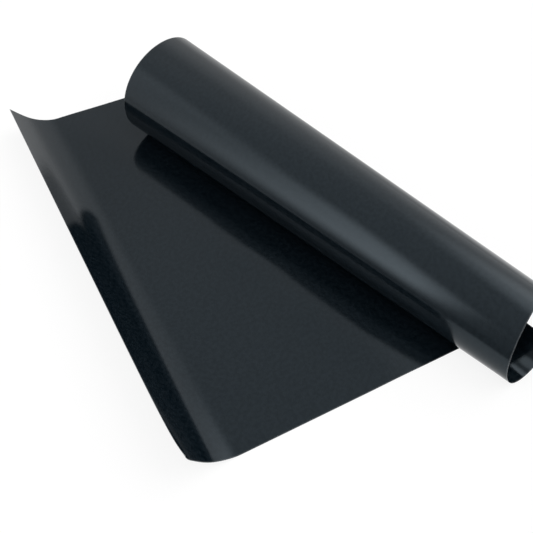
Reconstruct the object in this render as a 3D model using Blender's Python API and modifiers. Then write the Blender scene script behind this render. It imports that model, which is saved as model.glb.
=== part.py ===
"""Grill mat: one sheet of coated glass cloth, laid out flat at its free edge and rolled up at the other.

The sheet is a laminate of three bonded layers, each a node of its own: a woven glass cloth core with a
black non-stick coating on its upper and on its lower face. It has no other pieces, and nothing in it turns
or slides: it only bends, so every layer follows one bent surface that can be laid out flat again without
stretching.

The flat cut is a rectangle. Along its length, from the free edge, it is made of straight lines that stay
straight when the sheet bends (rulings): first a lip that curls up, most of all at its near corner, then the
part that lies on the table, then the roll. The roll's rulings all pass through one point, because the sheet
was rolled up a little askew and ended as a shallow cone, wider at its far end.

Frame: metres, Z up, Y along the line where the roll leaves the table, the flat part towards -X and the near
edge towards -Y. The origin is under the middle of the object's box, on the surface that it lies on.
"""

from math import atan2, ceil, cos, pi, radians, sin, tan

import bmesh
import bpy
import numpy as np
from mathutils import Matrix, Vector

# The flat cut
SHEET_LENGTH = 0.400
SHEET_WIDTH = 0.330

# The layers
CORE_THICKNESS = 0.00012
COATING_THICKNESS = 0.00004
BOND_GAP = 0.000005

# The curled lip along the free edge. LIP_WIDTH of the near edge curls. The rulings lie nearly along the free
# edge where the lip leaves the table, and fan out towards the near corner: the skews are how far askew the
# first and the last one lie, and LIP_FAN_POWER is how late they turn to it. LIP_CURVATURES is how sharply the
# lip bends, as one over the radius, at even distances along the near edge from the table to the corner.
LIP_WIDTH = 0.0420
LIP_START_SKEW = radians(0.38)
LIP_CORNER_SKEW = radians(38.0)
LIP_FAN_POWER = 7.6
LIP_CURVATURES = (52.0, 22.0, 36.5, 0.0, 162.0)

# The roll. The near edge reaches it FLAT_REACH from the free edge, and it lies askew by ROLL_SKEW. Its radii
# are those at the near edge. CONE_REACH is how far in front of that edge the rulings meet.
FLAT_REACH = 0.2213
ROLL_SKEW = radians(15.76)
CONE_REACH = 0.906
ROLL_SIDE_RADIUS = 0.0180
ROLL_TOP_RADIUS = 0.03856
RADIUS_LOST_EACH_INNER_TURN = 0.003
WRAP_GAP = 0.00035

# How finely the bends are divided: the widest strip between two rulings, on the near edge
LIP_STRIP = 0.0010
ROLL_STRIP = 0.0016

SHEET_THICKNESS = CORE_THICKNESS + 2 * (COATING_THICKNESS + BOND_GAP)
QUARTER_TURN = pi / 2
FULL_TURN = 2 * pi
PROFILE_STEPS_A_TURN = 360
LIP_HEADING_STEPS = 200
MOST_TURNS = 6

# Directions along and across the flat cut, and the point where the roll's rulings meet
ALONG = Vector((cos(ROLL_SKEW), -sin(ROLL_SKEW), 0.0))
ACROSS = Vector((sin(ROLL_SKEW), cos(ROLL_SKEW), 0.0))
UP = Vector((0.0, 0.0, 1.0))
CONE_POINT = Vector((0.0, -CONE_REACH, 0.0))


def clear_objects():
    for old in list(bpy.data.objects):
        bpy.data.objects.remove(old, do_unlink=True)


def make_material(name, colour, roughness):
    material = bpy.data.materials.new(name)
    material.use_nodes = True
    shader = material.node_tree.nodes["Principled BSDF"]
    shader.inputs["Base Color"].default_value = (*colour, 1.0)
    shader.inputs["Roughness"].default_value = roughness
    shader.inputs["Metallic"].default_value = 0.0
    material.diffuse_color = (*colour, 1.0)
    return material


def table_point(along, across):
    """Where a point of the flat cut would lie on the table if nothing were bent."""
    return (along - FLAT_REACH) * ALONG + across * ACROSS


def lip_skew(share):
    """How far askew a ruling of the lip lies, by its share of the way from the table to the near corner."""
    return LIP_START_SKEW + (LIP_CORNER_SKEW - LIP_START_SKEW) * share ** LIP_FAN_POWER


def lip_heading(share):
    """How far the lip has turned up at a ruling: its curvature, added up from the table."""
    middles = share * (np.arange(LIP_HEADING_STEPS) + 0.5) / LIP_HEADING_STEPS
    places = np.linspace(0.0, 1.0, len(LIP_CURVATURES))
    return LIP_WIDTH * share * float(np.interp(middles, places, LIP_CURVATURES).mean())


def far_corner_share():
    """The share of the ruling that runs through the free edge's far corner."""
    low, high = 0.0, 1.0
    for _ in range(40):
        middle = (low + high) / 2
        if LIP_WIDTH * (1 - middle) > SHEET_WIDTH * tan(lip_skew(middle)):
            low = middle
        else:
            high = middle
    return low


def turned(line_point, line_direction, angle):
    """A turn by this angle about a line."""
    spin = Matrix.Rotation(angle, 4, line_direction)
    return Matrix.Translation(line_point) @ spin @ Matrix.Translation(-line_point)


def lip_rulings():
    """The lip's rulings, from the near corner to the table, as near end, far end and the sheet's normal there.

    The sheet is folded a little about each ruling in turn, from the table outwards, and every fold carries all
    that lies beyond it.
    """
    far_corner = far_corner_share()
    shares = steps_between(0.0, far_corner, LIP_STRIP / LIP_WIDTH)
    shares += steps_between(far_corner, 1.0, LIP_STRIP / LIP_WIDTH)[1:]
    bent = Matrix.Identity(4)
    rulings = []
    for before, share, after in zip(shares[:1] + shares, shares, shares[1:] + shares[-1:]):
        along = LIP_WIDTH * (1 - share)
        skew = lip_skew(share)
        across = SHEET_WIDTH if share <= far_corner else along / tan(skew)
        near = table_point(along, 0.0)
        far = table_point(along - across * tan(skew), across)
        direction = cos(skew) * ACROSS - sin(skew) * ALONG
        fold = lip_heading((share + after) / 2) - lip_heading((before + share) / 2)
        normal = bent.to_3x3() @ turned(near, direction, fold / 2).to_3x3() @ UP
        rulings.append((bent @ near, bent @ far, normal))
        bent = bent @ turned(near, direction, fold)
    return rulings[::-1]


def roll_radius(heading):
    """Radius of curvature at the near edge, by how far the sheet has turned since it left the table.

    It runs evenly from one quarter turn to the next. The front quarter's radius brings the sheet back down
    onto the part that lies on the table, with WRAP_GAP between them: a radius that is held at one quarter
    and fades to the next on both sides moves the sheet up or down by 4 / pi of itself.
    """
    first_lift = SHEET_THICKNESS + WRAP_GAP
    front_radius = ROLL_SIDE_RADIUS - first_lift * pi / 4
    if heading >= FULL_TURN:
        inner_turns = (heading - FULL_TURN) / FULL_TURN
        return ROLL_SIDE_RADIUS - RADIUS_LOST_EACH_INNER_TURN * inner_turns
    at_quarters = (ROLL_SIDE_RADIUS, ROLL_SIDE_RADIUS, ROLL_TOP_RADIUS, front_radius, ROLL_SIDE_RADIUS)
    return float(np.interp(heading / QUARTER_TURN, range(len(at_quarters)), at_quarters))


def roll_profile():
    """Rows of arc length, heading, x and z along the roll at the near edge, from where it leaves the table."""
    step = FULL_TURN / PROFILE_STEPS_A_TURN
    arc = x = z = 0.0
    rows = [(arc, 0.0, x, z)]
    for index in range(PROFILE_STEPS_A_TURN * MOST_TURNS):
        start = index * step
        end = start + step
        radius = roll_radius((start + end) / 2)
        if radius <= 0:
            break
        arc += radius * step
        x += radius * (sin(end) - sin(start))
        z += radius * (cos(start) - cos(end))
        rows.append((arc, end, x, z))
    return np.array(rows)


def roll_arc(along, across):
    """Which ruling of the roll a point of the flat cut lies on, as an arc length at the near edge."""
    flat = table_point(along, across)
    return CONE_REACH * atan2(flat.x, flat.y + CONE_REACH)


def ruling_reaches(bearing):
    """How far from the cone's point the flat ruling at this bearing enters the cut, and where it leaves."""
    direction = Vector((sin(bearing), cos(bearing), 0.0))
    near_edge = (table_point(0.0, 0.0) - CONE_POINT).dot(ACROSS)
    far_edge = (table_point(0.0, SHEET_WIDTH) - CONE_POINT).dot(ACROSS)
    inner_end = (table_point(SHEET_LENGTH, 0.0) - CONE_POINT).dot(ALONG)
    enters = near_edge / direction.dot(ACROSS)
    leaves = far_edge / direction.dot(ACROSS)
    if bearing < ROLL_SKEW:
        enters = max(enters, inner_end / direction.dot(ALONG))
    elif bearing > ROLL_SKEW:
        leaves = min(leaves, inner_end / direction.dot(ALONG))
    return enters, leaves


def roll_ruling(arc, profile):
    """One straight line of the roll, as its near end, its far end and the sheet's normal there."""
    arcs, headings, xs, zs = profile.T
    heading = float(np.interp(arc, arcs, headings))
    x = float(np.interp(arc, arcs, xs))
    z = float(np.interp(arc, arcs, zs))
    direction = (Vector((x, 0.0, z)) - CONE_POINT).normalized()
    tangent = Vector((cos(heading), 0.0, sin(heading)))
    normal = tangent.cross(direction).normalized()
    enters, leaves = ruling_reaches(arc / CONE_REACH)
    return CONE_POINT + enters * direction, CONE_POINT + leaves * direction, normal


def steps_between(start, end, widest):
    """Evenly spaced values from start to end, no further apart than widest."""
    return [float(value) for value in np.linspace(start, end, ceil((end - start) / widest) + 1)]


def sheet_rulings():
    """Every ruling of the bent sheet in order, from the lip's near corner to the corner deepest in the roll."""
    profile = roll_profile()
    first_corner, last_corner = sorted(roll_arc(SHEET_LENGTH, across) for across in (0.0, SHEET_WIDTH))
    arcs = steps_between(0.0, first_corner, ROLL_STRIP)
    arcs += steps_between(first_corner, last_corner, ROLL_STRIP)[1:]
    return lip_rulings() + [roll_ruling(arc, profile) for arc in arcs]


def box_middle(rulings):
    """The middle of the object's box, at the height of its underside."""
    points = [end + side * SHEET_THICKNESS / 2 * normal
              for near, far, normal in rulings for end in (near, far) for side in (-1, 1)]
    low = Vector([min(point[axis] for point in points) for axis in range(3)])
    high = Vector([max(point[axis] for point in points) for axis in range(3)])
    return Vector(((low.x + high.x) / 2, (low.y + high.y) / 2, low.z))


def make_layer(name, height, thickness, rulings, material, collection, parent):
    """A flat grid bent onto the rulings at one height in the laminate, and given its thickness."""
    bm = bmesh.new()
    strips = len(rulings) - 1
    bmesh.ops.create_grid(bm, x_segments=strips, y_segments=1, size=0.5)
    for vertex in bm.verts:
        near, far, normal = rulings[round((vertex.co.x + 0.5) * strips)]
        vertex.co = near.lerp(far, vertex.co.y + 0.5) + height * normal
    # The first and the last ruling are corners of the sheet, where both ends meet
    bmesh.ops.remove_doubles(bm, verts=bm.verts, dist=0.00001)
    mesh = bpy.data.meshes.new(name)
    bm.to_mesh(mesh)
    bm.free()
    mesh.materials.append(material)
    mesh.shade_smooth()
    layer = bpy.data.objects.new(name, mesh)
    layer.parent = parent
    collection.objects.link(layer)
    skin = layer.modifiers.new("thickness", "SOLIDIFY")
    skin.thickness = thickness
    skin.offset = 0.0
    skin.use_even_offset = True
    skin.use_rim = True
    return layer


def build():
    clear_objects()
    collection = bpy.data.collections.new("grill_mat")
    bpy.context.scene.collection.children.link(collection)
    coating = make_material("black non-stick coating", (0.016, 0.019, 0.022), 0.24)
    cloth = make_material("woven glass cloth", (0.30, 0.27, 0.21), 0.75)

    rulings = sheet_rulings()
    stand = bpy.data.objects.new("grill_mat_stand", None)
    stand.location = -box_middle(rulings)
    collection.objects.link(stand)

    coating_height = (CORE_THICKNESS + COATING_THICKNESS) / 2 + BOND_GAP
    make_layer("glass_cloth_core", 0.0, CORE_THICKNESS, rulings, cloth, collection, stand)
    make_layer("upper_coating", coating_height, COATING_THICKNESS, rulings, coating, collection, stand)
    make_layer("lower_coating", -coating_height, COATING_THICKNESS, rulings, coating, collection, stand)


build()
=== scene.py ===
"""Looks of the grill mat: a thin black non-stick sheet, curled at its free edge and rolled up at the other.

The mat's three bonded layers are made again here as fine sheets on the same bent surface as the solids,
with what a loose sheet does besides: a low ripple off the table beside the roll, and a flare inside it.
"""

from math import atan2, ceil, cos, pi, radians, sin, tan

import bmesh
import bpy
import numpy as np
from mathutils import Euler, Matrix, Vector


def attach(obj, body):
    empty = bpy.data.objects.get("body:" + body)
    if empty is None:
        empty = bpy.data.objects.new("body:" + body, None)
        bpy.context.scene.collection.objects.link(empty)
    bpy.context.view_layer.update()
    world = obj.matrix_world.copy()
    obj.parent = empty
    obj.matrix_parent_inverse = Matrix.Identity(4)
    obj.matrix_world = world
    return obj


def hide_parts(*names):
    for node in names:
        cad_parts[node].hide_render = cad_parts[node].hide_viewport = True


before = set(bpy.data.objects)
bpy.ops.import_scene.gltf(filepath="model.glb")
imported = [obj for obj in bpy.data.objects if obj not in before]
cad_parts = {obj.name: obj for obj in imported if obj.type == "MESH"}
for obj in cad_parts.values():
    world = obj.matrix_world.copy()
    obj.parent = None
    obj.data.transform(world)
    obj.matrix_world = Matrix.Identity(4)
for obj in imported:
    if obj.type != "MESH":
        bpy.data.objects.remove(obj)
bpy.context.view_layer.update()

# The flat cut and its layers, in metres, as the solids have them
SHEET_LENGTH = 0.400
SHEET_WIDTH = 0.330
CORE_THICKNESS = 0.00012
COATING_THICKNESS = 0.00004
BOND_GAP = 0.000005
SHEET_THICKNESS = CORE_THICKNESS + 2 * (COATING_THICKNESS + BOND_GAP)

# The bent shape, as the solids have it
LIP_WIDTH = 0.0420
LIP_START_SKEW = radians(0.38)
LIP_CORNER_SKEW = radians(38.0)
LIP_FAN_POWER = 7.6
LIP_CURVATURES = (52.0, 22.0, 36.5, 0.0, 162.0)
FLAT_REACH = 0.2213
ROLL_SKEW = radians(15.76)
CONE_REACH = 0.906
ROLL_SIDE_RADIUS = 0.0180
ROLL_TOP_RADIUS = 0.03856
RADIUS_LOST_EACH_INNER_TURN = 0.003
WRAP_GAP = 0.00035
QUARTER_TURN = pi / 2
FULL_TURN = 2 * pi
PROFILE_STEPS_A_TURN = 360
LIP_HEADING_STEPS = 200
MOST_TURNS = 6

# What a loose sheet does besides. Beside the roll it lifts off the table in a low ripple: how far from the
# line where the roll starts and how wide that is, and its heights at even distances from the near edge to
# the far one. The near edge of the inner wrap flares outwards by FLARE, from a bulge of FLARE_BULGE inwards,
# which is FLARE_WIDTH from it and ends at FLARE_ENDS. The flare comes in between two places along the cut.
RIPPLE_START = 0.050
RIPPLE_WIDTH = 0.050
RIPPLE_LIFTS = (0.0003, 0.0013, 0.00115, 0.0007, 0.0013, 0.0008, 0.00085, 0.00085, 0.0007, 0.0005, 0.0002)
FLARE = 0.0005
FLARE_BULGE = 0.0013
FLARE_WIDTH = 0.012
FLARE_ENDS = 0.040
FLARE_STARTS = (0.345, 0.365)

# How finely the sheet is divided
LIP_STRIP = 0.0006
FLAT_STRIP = 0.006
ROLL_STRIP = 0.0008
PARTS_ALONG_A_RULING = 66
MERGE_DISTANCE = 0.000001
SHARP_EDGE = radians(40)

ALONG = Vector((cos(ROLL_SKEW), -sin(ROLL_SKEW), 0.0))
ACROSS = Vector((sin(ROLL_SKEW), cos(ROLL_SKEW), 0.0))
UP = Vector((0.0, 0.0, 1.0))
CONE_POINT = Vector((0.0, -CONE_REACH, 0.0))

# The camera stands where the photographer's did: its place is measured from where the near edge meets the
# roll, its heading from +Y towards +X, and its pitch down from the horizon
CAMERA_PLACE = (-0.30688, -0.13913, 0.40679)
CAMERA_HEADING = radians(44.724)
CAMERA_PITCH = radians(44.088)
CAMERA_ROLL = radians(-0.042)
CAMERA_LENS_MM = 56.47
SENSOR_MM = 36.0
CAMERA_SHIFT = (-0.0857, -0.1176)

# The coating, the cloth and what their surfaces do on a small scale. The coating's colour changes in a fine
# mottle and in wide patches, its roughness in the patches only, and it is paler in a ragged line along the
# cut's edges.
COATING_COLOUR = (0.0013, 0.0034, 0.0054)
COATING_PATCH_COLOUR = (0.0059, 0.0094, 0.0126)
COATING_PALE_EDGE_COLOUR = (0.055, 0.060, 0.064)
COATING_ROUGHNESS = 0.12
COATING_IOR = 1.462
COATING_SHEEN_TINT = (0.75, 0.895, 1.0)
CLOTH_COLOUR = (0.34, 0.35, 0.35)
CLOTH_SOILED_COLOUR = (0.15, 0.155, 0.16)
WEAVE_PITCH = 0.00055
WEAVE_SHARE = 0.6
GRAIN_SIZE = 0.0011
RELIEF_HEIGHT = 0.000006
PATCH_SIZE = 0.035
PATCHES_CHANGE = (0.3, 0.7)
ROUGHNESS_IN_PATCHES = (0.9, 1.15)
MOTTLE_SIZE = 0.0026
MOTTLE_CHANGES = (0.35, 0.65)
MOTTLE_SHARE = 0.75
PALE_EDGE_RAGGEDNESS = 0.0008
PALE_EDGE_FADES = (-0.00024, 0.00048)
PALE_EDGE_SHARE = 0.8
THREADS_CHANGE = (0.35, 0.65)

# The studio, with azimuths in degrees from +Y towards +X. Its walls brighten towards BRIGHT_SIDE, between
# two cosines of the angle to it, and turn into the ceiling between two sines of the height above the
# horizon. A soft light has an azimuth, an elevation, an inner and an outer radius, and a strength.
DIM_WALLS = 0.32
BRIGHT_WALLS = 1.15
BRIGHT_SIDE = 125.0
WALLS_BRIGHTEN = (-0.15, 1.02)
CEILING = 0.46
CEILING_STARTS = (0.64, 0.74)
SOFT_LIGHTS = (
    (115.0, 41.0, 25.0, 41.0, 1.6),
    (-45.0, 26.0, 18.0, 35.0, 0.47),
    (6.0, 42.0, 33.0, 54.0, 0.21),
    (-135.0, 62.0, 15.0, 27.0, 1.1),
)

# The light panel stands upright to the left of the mat and shines at it. It has a sharp near side, dims
# softly towards its far side, its bottom and its top, and rises towards its far side. PANEL_NEAR_SIDE and
# PANEL_FADES are where along Y it comes in and goes out, PANEL_BOTTOM is where along Z it comes in, and
# PANEL_TOP where it goes out at Y = 0, which rises by PANEL_TOP_RISE times Y.
PANEL_X = -0.60
PANEL_NEAR_SIDE = (0.014, 0.058)
PANEL_FADES = (-0.13, 0.80)
PANEL_BOTTOM = (0.047, 0.41)
PANEL_TOP = (0.315, 0.96)
PANEL_TOP_RISE = 1.75
PANEL_STRENGTH = 2.4

# The floor is mostly plain white to what looks at it. In the mat's gloss it is dimmer behind the mat than in
# front of it: by how much in front and behind, and where along Y that changes.
FLOOR_REACH = 6.0
FLOOR_COLOUR = (0.95, 0.95, 0.95)
FLOOR_WHITE_SHARE = 0.85
FLOOR_DIMMED_BY = (-0.06, 0.44)
FLOOR_DIMS = (-0.17, 0.05)


def table_point(along, across):
    """Where a point of the flat cut would lie on the table if nothing were bent."""
    return (along - FLAT_REACH) * ALONG + across * ACROSS


def lip_skew(share):
    """How far askew a ruling of the lip lies, by its share of the way from the table to the near corner."""
    return LIP_START_SKEW + (LIP_CORNER_SKEW - LIP_START_SKEW) * share ** LIP_FAN_POWER


def lip_heading(share):
    """How far the lip has turned up at a ruling: its curvature, added up from the table."""
    middles = share * (np.arange(LIP_HEADING_STEPS) + 0.5) / LIP_HEADING_STEPS
    places = np.linspace(0.0, 1.0, len(LIP_CURVATURES))
    return LIP_WIDTH * share * float(np.interp(middles, places, LIP_CURVATURES).mean())


def far_corner_share():
    """The share of the ruling that runs through the free edge's far corner."""
    low, high = 0.0, 1.0
    for _ in range(40):
        middle = (low + high) / 2
        if LIP_WIDTH * (1 - middle) > SHEET_WIDTH * tan(lip_skew(middle)):
            low = middle
        else:
            high = middle
    return low


def turned(line_point, line_direction, angle):
    """A turn by this angle about a line."""
    spin = Matrix.Rotation(angle, 4, line_direction)
    return Matrix.Translation(line_point) @ spin @ Matrix.Translation(-line_point)


def lip_rulings():
    """The lip's rulings, from the near corner to the table: ends, normal and the ends' places in the cut."""
    far_corner = far_corner_share()
    shares = steps_between(0.0, far_corner, LIP_STRIP / LIP_WIDTH)
    shares += steps_between(far_corner, 1.0, LIP_STRIP / LIP_WIDTH)[1:]
    bent = Matrix.Identity(4)
    rulings = []
    for before, share, after in zip(shares[:1] + shares, shares, shares[1:] + shares[-1:]):
        along = LIP_WIDTH * (1 - share)
        skew = lip_skew(share)
        across = SHEET_WIDTH if share <= far_corner else along / tan(skew)
        near_cut = (along, 0.0)
        far_cut = (along - across * tan(skew), across)
        near, far = table_point(*near_cut), table_point(*far_cut)
        direction = cos(skew) * ACROSS - sin(skew) * ALONG
        fold = lip_heading((share + after) / 2) - lip_heading((before + share) / 2)
        normal = bent.to_3x3() @ turned(near, direction, fold / 2).to_3x3() @ UP
        rulings.append((bent @ near, bent @ far, normal, near_cut, far_cut))
        bent = bent @ turned(near, direction, fold)
    return rulings[::-1]


def roll_radius(heading):
    """Radius of curvature at the near edge, by how far the sheet has turned since it left the table."""
    first_lift = SHEET_THICKNESS + WRAP_GAP
    front_radius = ROLL_SIDE_RADIUS - first_lift * pi / 4
    if heading >= FULL_TURN:
        inner_turns = (heading - FULL_TURN) / FULL_TURN
        return ROLL_SIDE_RADIUS - RADIUS_LOST_EACH_INNER_TURN * inner_turns
    at_quarters = (ROLL_SIDE_RADIUS, ROLL_SIDE_RADIUS, ROLL_TOP_RADIUS, front_radius, ROLL_SIDE_RADIUS)
    return float(np.interp(heading / QUARTER_TURN, range(len(at_quarters)), at_quarters))


def roll_profile():
    """Rows of arc length, heading, x and z along the roll's near edge, from where it leaves the table."""
    step = FULL_TURN / PROFILE_STEPS_A_TURN
    arc = x = z = 0.0
    rows = [(arc, 0.0, x, z)]
    for index in range(PROFILE_STEPS_A_TURN * MOST_TURNS):
        start = index * step
        end = start + step
        radius = roll_radius((start + end) / 2)
        if radius <= 0:
            break
        arc += radius * step
        x += radius * (sin(end) - sin(start))
        z += radius * (cos(start) - cos(end))
        rows.append((arc, end, x, z))
    return np.array(rows)


def roll_arc(along, across):
    """Which ruling of the roll a point of the flat cut lies on, as an arc length at the near edge."""
    flat = table_point(along, across)
    return CONE_REACH * atan2(flat.x, flat.y + CONE_REACH)


def ruling_reaches(bearing):
    """How far from the cone's point the flat ruling at this bearing enters the cut, and where it leaves."""
    direction = Vector((sin(bearing), cos(bearing), 0.0))
    near_edge = (table_point(0.0, 0.0) - CONE_POINT).dot(ACROSS)
    far_edge = (table_point(0.0, SHEET_WIDTH) - CONE_POINT).dot(ACROSS)
    inner_end = (table_point(SHEET_LENGTH, 0.0) - CONE_POINT).dot(ALONG)
    enters = near_edge / direction.dot(ACROSS)
    leaves = far_edge / direction.dot(ACROSS)
    if bearing < ROLL_SKEW:
        enters = max(enters, inner_end / direction.dot(ALONG))
    elif bearing > ROLL_SKEW:
        leaves = min(leaves, inner_end / direction.dot(ALONG))
    return enters, leaves


def cut_place(bearing, reach):
    """The place in the flat cut, as (along, across), of a point at this reach on a flat ruling."""
    flat = CONE_POINT + reach * Vector((sin(bearing), cos(bearing), 0.0))
    return flat.dot(ALONG) + FLAT_REACH, flat.dot(ACROSS)


def roll_ruling(arc, profile):
    """One straight line of the roll: its ends, the sheet's normal, and its ends' places in the cut."""
    arcs, headings, xs, zs = profile.T
    heading = float(np.interp(arc, arcs, headings))
    x = float(np.interp(arc, arcs, xs))
    z = float(np.interp(arc, arcs, zs))
    direction = (Vector((x, 0.0, z)) - CONE_POINT).normalized()
    tangent = Vector((cos(heading), 0.0, sin(heading)))
    normal = tangent.cross(direction).normalized()
    bearing = arc / CONE_REACH
    enters, leaves = ruling_reaches(bearing)
    near, far = CONE_POINT + enters * direction, CONE_POINT + leaves * direction
    return near, far, normal, cut_place(bearing, enters), cut_place(bearing, leaves)


def steps_between(start, end, widest):
    """Evenly spaced values from start to end, no further apart than widest."""
    return [float(value) for value in np.linspace(start, end, ceil((end - start) / widest) + 1)]


def between_rulings(first, second, share):
    """A line of the flat part, a share of the way from one of its edge rulings to the other."""
    return tuple(np.array(a) * (1 - share) + np.array(b) * share for a, b in zip(first, second))


def sheet_rulings():
    """Every ruling of the bent sheet in order, from the lip's near corner to the corner deep in the roll."""
    profile = roll_profile()
    near_corner = roll_arc(SHEET_LENGTH, 0.0)
    far_corner = roll_arc(SHEET_LENGTH, SHEET_WIDTH)
    lip = lip_rulings()
    arcs = steps_between(0.0, near_corner, ROLL_STRIP)
    arcs += steps_between(near_corner, far_corner, ROLL_STRIP)[1:]
    roll = [roll_ruling(arc, profile) for arc in arcs]
    shares = steps_between(0.0, 1.0, FLAT_STRIP / (FLAT_REACH - LIP_WIDTH))[1:-1]
    flat = [between_rulings(lip[-1], roll[0], share) for share in shares]
    return lip + flat + roll


rulings = sheet_rulings()
near_ends, far_ends, normals, near_cuts, far_cuts = (
    np.array([np.array(ruling[part]) for ruling in rulings]) for part in range(5)
)


def box_middle():
    """The middle of the mat's box, at the height of its underside."""
    skins = np.concatenate([ends + side * SHEET_THICKNESS / 2 * normals
                            for ends in (near_ends, far_ends) for side in (-1, 1)])
    low, high = skins.min(axis=0), skins.max(axis=0)
    return np.array([(low[0] + high[0]) / 2, (low[1] + high[1]) / 2, low[2]])


origin = box_middle()


def share_between(value, start, end):
    """How far a value is from start to end, between 0 and 1."""
    return min(max((value - start) / (end - start), 0.0), 1.0)


def smooth_step(value, start, end):
    """From 0 at start to 1 at end, level at both."""
    share = share_between(value, start, end)
    return share * share * (3 - 2 * share)


def ripple(along, across):
    """How far the sheet lifts off the table at a place in the cut."""
    beside_roll = (FLAT_REACH - along) * ALONG.x - across * ACROSS.x
    lift = float(np.interp(across, np.linspace(0.0, SHEET_WIDTH, len(RIPPLE_LIFTS)), RIPPLE_LIFTS))
    through = share_between(beside_roll, RIPPLE_START, RIPPLE_START + RIPPLE_WIDTH)
    return lift * sin(pi * through) ** 2


def flare(along, across):
    """How far the inner wrap stands off its cone at a place in the cut, inwards."""
    rim = smooth_step(across, 0.0, FLARE_WIDTH) * (FLARE + FLARE_BULGE) - FLARE
    return rim * (1 - smooth_step(across, FLARE_WIDTH, FLARE_ENDS)) * smooth_step(along, *FLARE_STARTS)


def make_layer(name, height, thickness, material):
    """One layer of the laminate: a grid bent onto the rulings at its height, with its thickness."""
    strips = len(rulings) - 1
    bm = bmesh.new()
    bmesh.ops.create_grid(bm, x_segments=strips, y_segments=PARTS_ALONG_A_RULING, size=0.5)
    in_cut = bm.verts.layers.float_vector.new("in_cut")
    for vertex in bm.verts:
        index = round((vertex.co.x + 0.5) * strips)
        share = round((vertex.co.y + 0.5) * PARTS_ALONG_A_RULING) / PARTS_ALONG_A_RULING
        along, across = near_cuts[index] * (1 - share) + far_cuts[index] * share
        place = near_ends[index] * (1 - share) + far_ends[index] * share
        off = height + ripple(along, across) + flare(along, across)
        vertex.co = place + off * normals[index] - origin
        vertex[in_cut] = (along, across, 0.0)
    bmesh.ops.remove_doubles(bm, verts=bm.verts, dist=MERGE_DISTANCE)
    mesh = bpy.data.meshes.new(name)
    bm.to_mesh(mesh)
    bm.free()
    mesh.materials.append(material)
    mesh.shade_smooth()
    layer = bpy.data.objects.new(name, mesh)
    bpy.context.scene.collection.objects.link(layer)
    skin = layer.modifiers.new("thickness", "SOLIDIFY")
    skin.thickness = thickness
    skin.offset = 0.0
    skin.use_even_offset = True
    solid = bpy.data.meshes.new_from_object(layer.evaluated_get(bpy.context.evaluated_depsgraph_get()))
    layer.modifiers.clear()
    layer.data = solid
    solid.name = name
    solid.set_sharp_from_angle(angle=SHARP_EDGE)
    return layer


def plain_material(name, colour, roughness, ior=1.5):
    """A material of one colour and roughness."""
    material = bpy.data.materials.new(name)
    material.use_nodes = True
    shader = material.node_tree.nodes["Principled BSDF"]
    shader.inputs["Base Color"].default_value = (*colour, 1.0)
    shader.inputs["Roughness"].default_value = roughness
    shader.inputs["IOR"].default_value = ior
    return material


class Nodes:
    """Short names for adding shader nodes and joining them."""

    def __init__(self, tree):
        self.tree = tree

    def add(self, kind, **settings):
        node = self.tree.nodes.new(kind)
        for setting, value in settings.items():
            setattr(node, setting, value)
        return node

    def feed(self, node, inputs):
        for socket, value in inputs.items():
            if isinstance(value, bpy.types.NodeSocket):
                self.tree.links.new(value, node.inputs[socket])
            else:
                node.inputs[socket].default_value = value
        return node

    def math(self, operation, first, second=0.0):
        return self.feed(self.add("ShaderNodeMath", operation=operation), {0: first, 1: second}).outputs[0]

    def vector(self, operation, first, second=(0.0, 0.0, 0.0)):
        return self.feed(self.add("ShaderNodeVectorMath", operation=operation), {0: first, 1: second})

    def ramp(self, value, start, end, low=0.0, high=1.0):
        """Low up to start, high from end on, and a smooth rise between them."""
        node = self.add("ShaderNodeMapRange", interpolation_type="SMOOTHSTEP")
        inputs = {"Value": value, "From Min": start, "From Max": end, "To Min": low, "To Max": high}
        return self.feed(node, inputs).outputs["Result"]

    def noise(self, place, size, detail=2.0, roughness=0.5):
        node = self.add("ShaderNodeTexNoise")
        inputs = {"Vector": place, "Scale": 1.0 / size, "Detail": detail, "Roughness": roughness}
        return self.feed(node, inputs).outputs["Fac"]

    def mix(self, share, first, second):
        node = self.add("ShaderNodeMix", data_type="RGBA")
        return self.feed(node, {0: share, 6: first, 7: second}).outputs[2]


def edge_distance(nodes, place):
    """How far a place in the flat cut is from its nearest edge."""
    middle = (SHEET_LENGTH / 2, SHEET_WIDTH / 2, 0.0)
    from_middle = nodes.vector("ABSOLUTE", nodes.vector("SUBTRACT", place, middle).outputs[0]).outputs[0]
    to_edges = nodes.vector("SUBTRACT", middle, from_middle).outputs[0]
    parts = nodes.feed(nodes.add("ShaderNodeSeparateXYZ"), {0: to_edges})
    return nodes.math("MINIMUM", parts.outputs["X"], parts.outputs["Y"])


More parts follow.
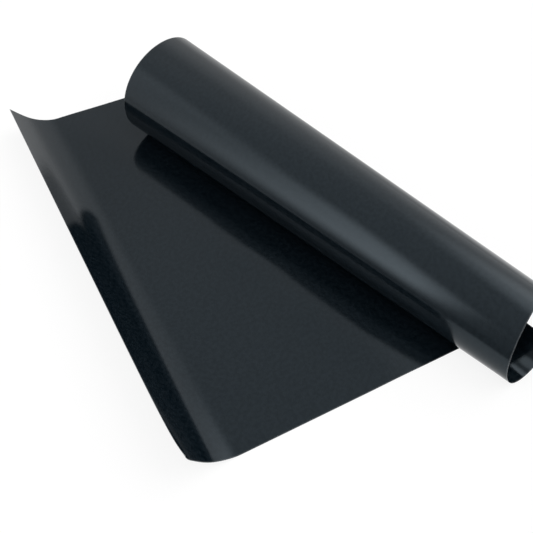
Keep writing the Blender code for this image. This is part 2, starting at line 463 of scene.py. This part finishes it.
def coating_material():
    """The black non-stick coating: glossy, a little uneven, with the cloth's weave just showing through."""
    material = plain_material("black_coating", COATING_COLOUR, COATING_ROUGHNESS, COATING_IOR)
    nodes = Nodes(material.node_tree)
    shader = material.node_tree.nodes["Principled BSDF"]
    shader.inputs["Specular Tint"].default_value = (*COATING_SHEEN_TINT, 1.0)
    place = nodes.add("ShaderNodeAttribute", attribute_name="in_cut").outputs["Vector"]

    in_threads = nodes.vector("MULTIPLY", place, (pi / WEAVE_PITCH,) * 3).outputs[0]
    waves = nodes.vector("SINE", in_threads).outputs[0]
    crossing = nodes.feed(nodes.add("ShaderNodeSeparateXYZ"), {0: waves})
    weave = nodes.math("MULTIPLY", crossing.outputs["X"], crossing.outputs["Y"])
    grain = nodes.noise(place, GRAIN_SIZE, detail=3.0)
    relief = nodes.math("ADD", nodes.math("MULTIPLY", weave, WEAVE_SHARE), grain)
    bump = nodes.feed(nodes.add("ShaderNodeBump"), {"Distance": RELIEF_HEIGHT, "Height": relief})

    patches = nodes.noise(place, PATCH_SIZE, detail=4.0, roughness=0.6)
    mottle = nodes.noise(place, MOTTLE_SIZE, detail=3.0, roughness=0.6)
    mottle = nodes.ramp(mottle, *MOTTLE_CHANGES, 0.0, MOTTLE_SHARE)
    shade = nodes.math("ADD", mottle, nodes.math("MULTIPLY", patches, 1.0 - MOTTLE_SHARE))
    even = nodes.mix(shade, (*COATING_COLOUR, 1.0), (*COATING_PATCH_COLOUR, 1.0))
    # The coating's colour turns paler within about half a millimetre of the cut's edges, in a line made
    # ragged by the grain.
    ragged_edge_distance = nodes.math("ADD", edge_distance(nodes, place), nodes.math("MULTIPLY", grain, -PALE_EDGE_RAGGEDNESS))
    pale_edge = nodes.ramp(ragged_edge_distance, *PALE_EDGE_FADES, PALE_EDGE_SHARE, 0.0)
    colour = nodes.mix(pale_edge, even, (*COATING_PALE_EDGE_COLOUR, 1.0))
    least, most = (COATING_ROUGHNESS * share for share in ROUGHNESS_IN_PATCHES)
    rough = nodes.ramp(patches, *PATCHES_CHANGE, least, most)
    nodes.feed(shader, {"Base Color": colour, "Roughness": rough, "Normal": bump.outputs[0]})
    return material


def cloth_material():
    """The woven glass cloth, which shows only at the cut edges."""
    material = plain_material("glass_cloth", CLOTH_COLOUR, 0.8)
    nodes = Nodes(material.node_tree)
    shader = material.node_tree.nodes["Principled BSDF"]
    place = nodes.add("ShaderNodeAttribute", attribute_name="in_cut").outputs["Vector"]
    threads = nodes.ramp(nodes.noise(place, WEAVE_PITCH, detail=1.0), *THREADS_CHANGE)
    colour = nodes.mix(threads, (*CLOTH_COLOUR, 1.0), (*CLOTH_SOILED_COLOUR, 1.0))
    nodes.feed(shader, {"Base Color": colour})
    return material


coating = coating_material()
cloth = cloth_material()

coating_height = (CORE_THICKNESS + COATING_THICKNESS) / 2 + BOND_GAP
layers = (
    ("glass_cloth_sheet", 0.0, CORE_THICKNESS, cloth, "glass_cloth_core", "glass_cloth"),
    ("upper_coating_sheet", coating_height, COATING_THICKNESS, coating, "upper_coating", "black_coating"),
    ("lower_coating_sheet", -coating_height, COATING_THICKNESS, coating, "lower_coating", "black_coating"),
)
for name, height, thickness, material, node, slot in layers:
    layer = make_layer(name, height, thickness, material)
    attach(layer, "root")
    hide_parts(node)


def add_camera():
    """The camera, where the photographer's was."""
    data = bpy.data.cameras.new("camera")
    data.sensor_width = SENSOR_MM
    data.lens = CAMERA_LENS_MM
    data.shift_x, data.shift_y = CAMERA_SHIFT
    camera = bpy.data.objects.new("camera", data)
    camera.location = Vector(CAMERA_PLACE) - Vector(origin)
    camera.rotation_euler = Euler((pi / 2 - CAMERA_PITCH, CAMERA_ROLL, -CAMERA_HEADING))
    bpy.context.scene.collection.objects.link(camera)
    bpy.context.scene.camera = camera


def sky_direction(azimuth, elevation):
    """A direction by its azimuth, from +Y towards +X, and its height above the horizon, in degrees."""
    azimuth, elevation = radians(azimuth), radians(elevation)
    return sin(azimuth) * cos(elevation), cos(azimuth) * cos(elevation), sin(elevation)


def add_floor():
    """A white floor, mostly plain white to what looks at it, so that it stays pale and keeps the shadow."""
    mesh = bpy.data.meshes.new("floor")
    bm = bmesh.new()
    bmesh.ops.create_grid(bm, x_segments=1, y_segments=1, size=FLOOR_REACH)
    bm.to_mesh(mesh)
    bm.free()
    floor = bpy.data.objects.new("floor", mesh)
    bpy.context.scene.collection.objects.link(floor)
    material = plain_material("floor", FLOOR_COLOUR, 1.0)
    nodes = Nodes(material.node_tree)
    shader = material.node_tree.nodes["Principled BSDF"]
    shader.inputs["Specular IOR Level"].default_value = 0.0
    looks = nodes.add("ShaderNodeLightPath").outputs
    seen = nodes.math("MAXIMUM", looks["Is Camera Ray"], looks["Is Glossy Ray"])
    seen = nodes.math("MAXIMUM", seen, looks["Is Transmission Ray"])
    geometry = nodes.add("ShaderNodeNewGeometry").outputs
    place = nodes.feed(nodes.add("ShaderNodeSeparateXYZ"), {0: geometry["Position"]}).outputs
    dimming = nodes.ramp(place["Y"], *FLOOR_DIMS, *FLOOR_DIMMED_BY)
    strength = nodes.math("SUBTRACT", 1.0, nodes.math("MULTIPLY", looks["Is Glossy Ray"], dimming))
    white = nodes.feed(nodes.add("ShaderNodeEmission"), {"Strength": strength}).outputs[0]
    share = nodes.math("MULTIPLY", seen, FLOOR_WHITE_SHARE)
    mixed = nodes.feed(nodes.add("ShaderNodeMixShader"), {0: share, 1: shader.outputs[0], 2: white})
    nodes.feed(material.node_tree.nodes["Material Output"], {"Surface": mixed.outputs[0]})
    mesh.materials.append(material)


def add_panel():
    """A soft light panel, which is clear to whatever looks at it from behind or through it."""
    bm = bmesh.new()
    near, far, low = PANEL_NEAR_SIDE[0], PANEL_FADES[1], PANEL_BOTTOM[0]
    far_top, near_top = (PANEL_TOP[1] + PANEL_TOP_RISE * y for y in (far, near))
    outline = ((near, low), (far, low), (far, far_top), (near, near_top))
    bm.faces.new([bm.verts.new((PANEL_X, y, z)) for y, z in outline])
    mesh = bpy.data.meshes.new("light_panel")
    bm.to_mesh(mesh)
    bm.free()
    panel = bpy.data.objects.new("light_panel", mesh)
    bpy.context.scene.collection.objects.link(panel)
    panel.visible_camera = False
    material = bpy.data.materials.new("light_panel")
    material.use_nodes = True
    nodes = Nodes(material.node_tree)
    geometry = nodes.add("ShaderNodeNewGeometry").outputs
    place = nodes.feed(nodes.add("ShaderNodeSeparateXYZ"), {0: geometry["Position"]}).outputs
    level = nodes.ramp(place["Y"], *PANEL_FADES, PANEL_STRENGTH, 0.0)
    level = nodes.math("MULTIPLY", level, nodes.ramp(place["Y"], *PANEL_NEAR_SIDE))
    level = nodes.math("MULTIPLY", level, nodes.ramp(place["Z"], *PANEL_BOTTOM))
    above = nodes.math("SUBTRACT", place["Z"], nodes.math("MULTIPLY", place["Y"], PANEL_TOP_RISE))
    level = nodes.math("MULTIPLY", level, nodes.ramp(above, *PANEL_TOP, 1.0, 0.0))
    level = nodes.math("MULTIPLY", level, nodes.math("SUBTRACT", 1.0, geometry["Backfacing"]))
    glow = nodes.feed(nodes.add("ShaderNodeEmission"), {"Strength": level}).outputs[0]
    clear = nodes.add("ShaderNodeBsdfTransparent").outputs[0]
    both = nodes.feed(nodes.add("ShaderNodeAddShader"), {0: glow, 1: clear}).outputs[0]
    nodes.feed(material.node_tree.nodes["Material Output"], {"Surface": both})
    mesh.materials.append(material)


def add_light():
    """A pale studio with large soft lights in it, far away."""
    world = bpy.data.worlds.new("studio")
    world.use_nodes = True
    bpy.context.scene.world = world
    nodes = Nodes(world.node_tree)
    looking = nodes.add("ShaderNodeTexCoord").outputs["Generated"]
    side = nodes.vector("DOT_PRODUCT", looking, sky_direction(BRIGHT_SIDE, 0.0)).outputs["Value"]
    walls = nodes.ramp(side, *WALLS_BRIGHTEN, DIM_WALLS, BRIGHT_WALLS)
    height = nodes.feed(nodes.add("ShaderNodeSeparateXYZ"), {0: looking}).outputs["Z"]
    level = nodes.ramp(height, *CEILING_STARTS, walls, CEILING)
    for azimuth, elevation, inner, outer, strength in SOFT_LIGHTS:
        aim = nodes.vector("DOT_PRODUCT", looking, sky_direction(azimuth, elevation)).outputs["Value"]
        glow = nodes.ramp(aim, cos(radians(outer)), cos(radians(inner)), 0.0, strength)
        level = nodes.math("ADD", level, glow)
    nodes.feed(world.node_tree.nodes["Background"], {"Color": (1.0, 1.0, 1.0, 1.0), "Strength": level})


add_camera()
add_floor()
add_panel()
add_light()
bpy.context.scene.view_settings.view_transform = "Standard"
